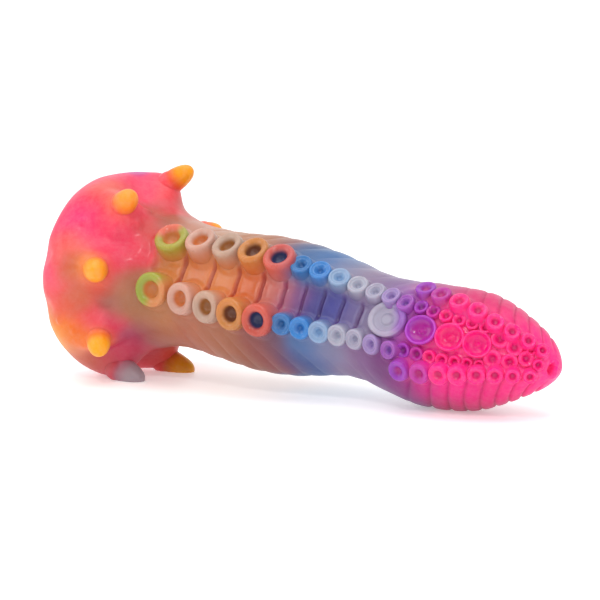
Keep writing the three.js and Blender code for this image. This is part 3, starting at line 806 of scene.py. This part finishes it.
def horn(index, shape, root_colour, tip_colour):
    """A round-ended spike that bends from its root's aim to its tip's."""
    x = np.float64(shape["x"])
    _, tangent, _ = spine_frame(x)
    root_aim, tip_aim = [splayed(x, shape["aim"], degrees) for degrees in shape["splay"]]
    length = shape["length"]
    root, _ = surface(np.float64(station(x)), np.float64(shape["angle"]), seats=False)
    root = root - root_aim * HORN_BELOW
    bend = root + root_aim * length * 0.4
    start, end = root - root_aim * HORN_SINK, bend + tip_aim * length * 0.6
    levels, segments = 34, 32
    t = np.linspace(0, 1, levels) ** 0.85
    path, aim = bezier(start, bend, end, t)
    side = np.cross(outward(x, np.float64(shape["angle"])), tangent)
    side -= aim[0] * (side @ aim[0])
    side /= np.linalg.norm(side)
    across = np.cross(side, aim)
    across /= np.linalg.norm(across, axis=1, keepdims=True)
    width = along(HORN_TAPER, t) * HORN_RADIUS * (1.12 if shape["splay"][1] < 10 else 1)
    turns = np.linspace(0, 2 * np.pi, segments, endpoint=False)
    rings = (path[:, None] + side * (np.cos(turns)[None, :, None] * width[:, None, None])
             - across[:, None] * (np.sin(turns)[None, :, None] * width[:, None, None]))
    rings += side * (0.1 * ripple(rings, 9, 40 + index))[..., None]
    rings[..., 2] = np.maximum(rings[..., 2], FLOOR_GAP)
    flat = np.concatenate([rings[:-1].reshape(-1, 3), [end, start]])
    rows = levels - 1
    faces = [tuple(reversed(face)) for face in ring_faces(rows, segments)]
    for k in range(segments):
        following = (k + 1) % segments
        faces.append(((rows - 1) * segments + k, (rows - 1) * segments + following, rows * segments))
        faces.append((following, k, rows * segments + 1))
    share = smooth(t, 0.3, 0.7)[:, None]
    colours = rgb(root_colour) * (1 - share) + rgb(tip_colour) * share
    skin_share = (1 - smooth(t, 0.2, 0.4))[:, None, None]
    own = np.broadcast_to(colours[:, None], rings.shape)
    per_point = own * (1 - skin_share) + pigment(rings) * skin_share
    colours = np.concatenate([per_point[:-1].reshape(-1, 3), [rgb(tip_colour), rgb(root_colour)]])
    obj = make_mesh(f"horn_spike_{index}", flat, faces, colours)
    obj.data.materials.append(SILICONE)
    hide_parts(f"horn_{index}")
    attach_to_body(obj, "base")


# Colour at each horn's root and at its tip.
HORN_COLOURS = [("e8583c", "f09c20"), ("f08040", "f89838"), ("f48c38", "f89c30"), ("f07c38", "f8a428"),
                ("a87080", "9c8c94"), ("c46c28", "d89828"), ("f08038", "f8a430"), ("f07c40", "f8a434")]
for number, (shape, (root_colour, tip_colour)) in enumerate(zip(HORNS, HORN_COLOURS), 1):
    horn(number, shape, root_colour, tip_colour)


# ---- suction cup ----
BACK_X = -107.5  # the plane of the suction cup's rim
DISH_DEPTH = 2.8
DISC_DEPTH = 4.6
# From the rim's outside to the middle of the dish, as (radius, depth from the back).
SUCTION_PROFILE = [(28.9, DISC_DEPTH), (28.6, 2.4), (28.1, 0.9), (27.4, 0.2), (26.6, 0.0), (24.8, 0.0),
                   (23.6, 0.1), (22.0, 0.5), (18.0, 1.4), (12.0, 2.2), (6.0, 2.65), (0.0, DISH_DEPTH)]


def suction_cup():
    """A disc with a rounded rim and a shallow dish, on the back of the dome."""
    scaled = [(radius / PROFILE_SCALE, depth) for radius, depth in SUCTION_PROFILE]
    outline = smooth_profile(scaled, 48) * (PROFILE_SCALE, 1)
    outline[-1, 0] = 0
    segments = 96
    centre, tangent, up = spine_frame(np.float64(BACK_X))
    across = np.cross(tangent, up)
    turns = np.linspace(0, 2 * np.pi, segments, endpoint=False)
    radial = np.cos(turns)[:, None] * up + np.sin(turns)[:, None] * across
    rings = centre + outline[:-1, 0, None, None] * radial + (outline[:-1, 1, None] * tangent)[:, None]
    rows = len(rings)
    ends = [centre + tangent * DISH_DEPTH, centre + tangent * DISC_DEPTH]
    flat = np.concatenate([rings.reshape(-1, 3), ends])
    faces = ring_faces(rows, segments)
    for k in range(segments):
        following = (k + 1) % segments
        faces.append(((rows - 1) * segments + following, (rows - 1) * segments + k, rows * segments))
        faces.append((k, following, rows * segments + 1))
    obj = make_mesh("suction_cup_rim", flat, faces, pigment(flat), 0.5)
    obj.data.materials.append(SILICONE)
    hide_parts("suction_cup")
    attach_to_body(obj, "base")


suction_cup()


# ---- floor, light and camera ----
def plain_material(name, colour, roughness, glow):
    """A matt surface that glows a little, so that it stays white in shade."""
    material = bpy.data.materials.new(name)
    material.use_nodes = True
    shader = material.node_tree.nodes["Principled BSDF"]
    shader.inputs["Base Color"].default_value = (*colour, 1)
    shader.inputs["Roughness"].default_value = roughness
    shader.inputs["Specular IOR Level"].default_value = 0.3
    shader.inputs["Emission Color"].default_value = (1, 1, 1, 1)
    shader.inputs["Emission Strength"].default_value = glow
    return material


def backdrop():
    """A white sweep: a floor that curves up into a wall behind the object."""
    back = camera_back()
    behind = Vector((-back.x, -back.y, 0)).normalized()
    side = Vector((-behind.y, behind.x, 0))
    section = [(-1.5, 0.0), (0.6, 0.0)]
    curve = np.linspace(0.1, math.pi / 2, 14)
    section += [(0.6 + 0.5 * math.sin(t), 0.5 - 0.5 * math.cos(t)) for t in curve]
    section += [(1.1, 2.5)]
    points = []
    for reach, z in section:
        for along_side in (-2.5, 2.5):
            place = behind * reach + side * along_side
            points.append((place.x, place.y, z))
    faces = [(2 * k, 2 * k + 1, 2 * k + 3, 2 * k + 2) for k in range(len(section) - 1)]
    mesh = bpy.data.meshes.new("backdrop")
    mesh.from_pydata(points, [], faces)
    mesh.polygons.foreach_set("use_smooth", [True] * len(faces))
    mesh.materials.append(plain_material("white paper", (0.9, 0.9, 0.9), 0.4, 0.32))
    obj = bpy.data.objects.new("backdrop", mesh)
    bpy.context.scene.collection.objects.link(obj)


AZIMUTH, ELEVATION = 35.0, 6.0
DISTANCE = 0.65
LENS = 101.9
TARGET = Vector((-0.0025, 0.0007, 0.03555))


def camera_back():
    """Unit vector from the target towards the camera."""
    azimuth, elevation = math.radians(AZIMUTH), math.radians(ELEVATION)
    return Vector((math.sin(azimuth) * math.cos(elevation), -math.cos(azimuth) * math.cos(elevation),
                   math.sin(elevation)))


def add_camera():
    """A camera that was fitted to the photograph."""
    data = bpy.data.cameras.new("camera")
    data.sensor_width = 36
    data.lens = LENS
    data.clip_start = 0.01
    obj = bpy.data.objects.new("camera", data)
    obj.location = TARGET + camera_back() * DISTANCE
    obj.rotation_euler = camera_back().to_track_quat("Z", "Y").to_euler()
    bpy.context.scene.collection.objects.link(obj)
    bpy.context.scene.camera = obj


def area_light(name, place, size, power):
    """A rectangular lamp that faces the object."""
    data = bpy.data.lights.new(name, "AREA")
    data.shape = "RECTANGLE"
    data.size, data.size_y = size
    data.energy = power
    obj = bpy.data.objects.new(name, data)
    obj.location = place
    obj.rotation_euler = (Vector(place) - Vector((0, 0, 0.03))).to_track_quat("Z", "Y").to_euler()
    bpy.context.scene.collection.objects.link(obj)


backdrop()
add_camera()
area_light("top softbox", (0.05, -0.1, 0.9), (0.9, 0.7), 3.9)
area_light("left softbox", (-0.75, -0.65, 0.55), (0.5, 0.5), 1.9)
area_light("right softbox", (0.75, -0.55, 0.45), (0.35, 0.5), 1.3)
area_light("small lamp", (0.25, -0.7, 0.75), (0.05, 0.05), 1.9)
world = bpy.data.worlds.new("studio")
world.use_nodes = True
background = world.node_tree.nodes["Background"]
background.inputs["Color"].default_value = (1, 1, 1, 1)
background.inputs["Strength"].default_value = 0.54
bpy.context.scene.world = world
bpy.context.scene.view_settings.view_transform = "Standard"
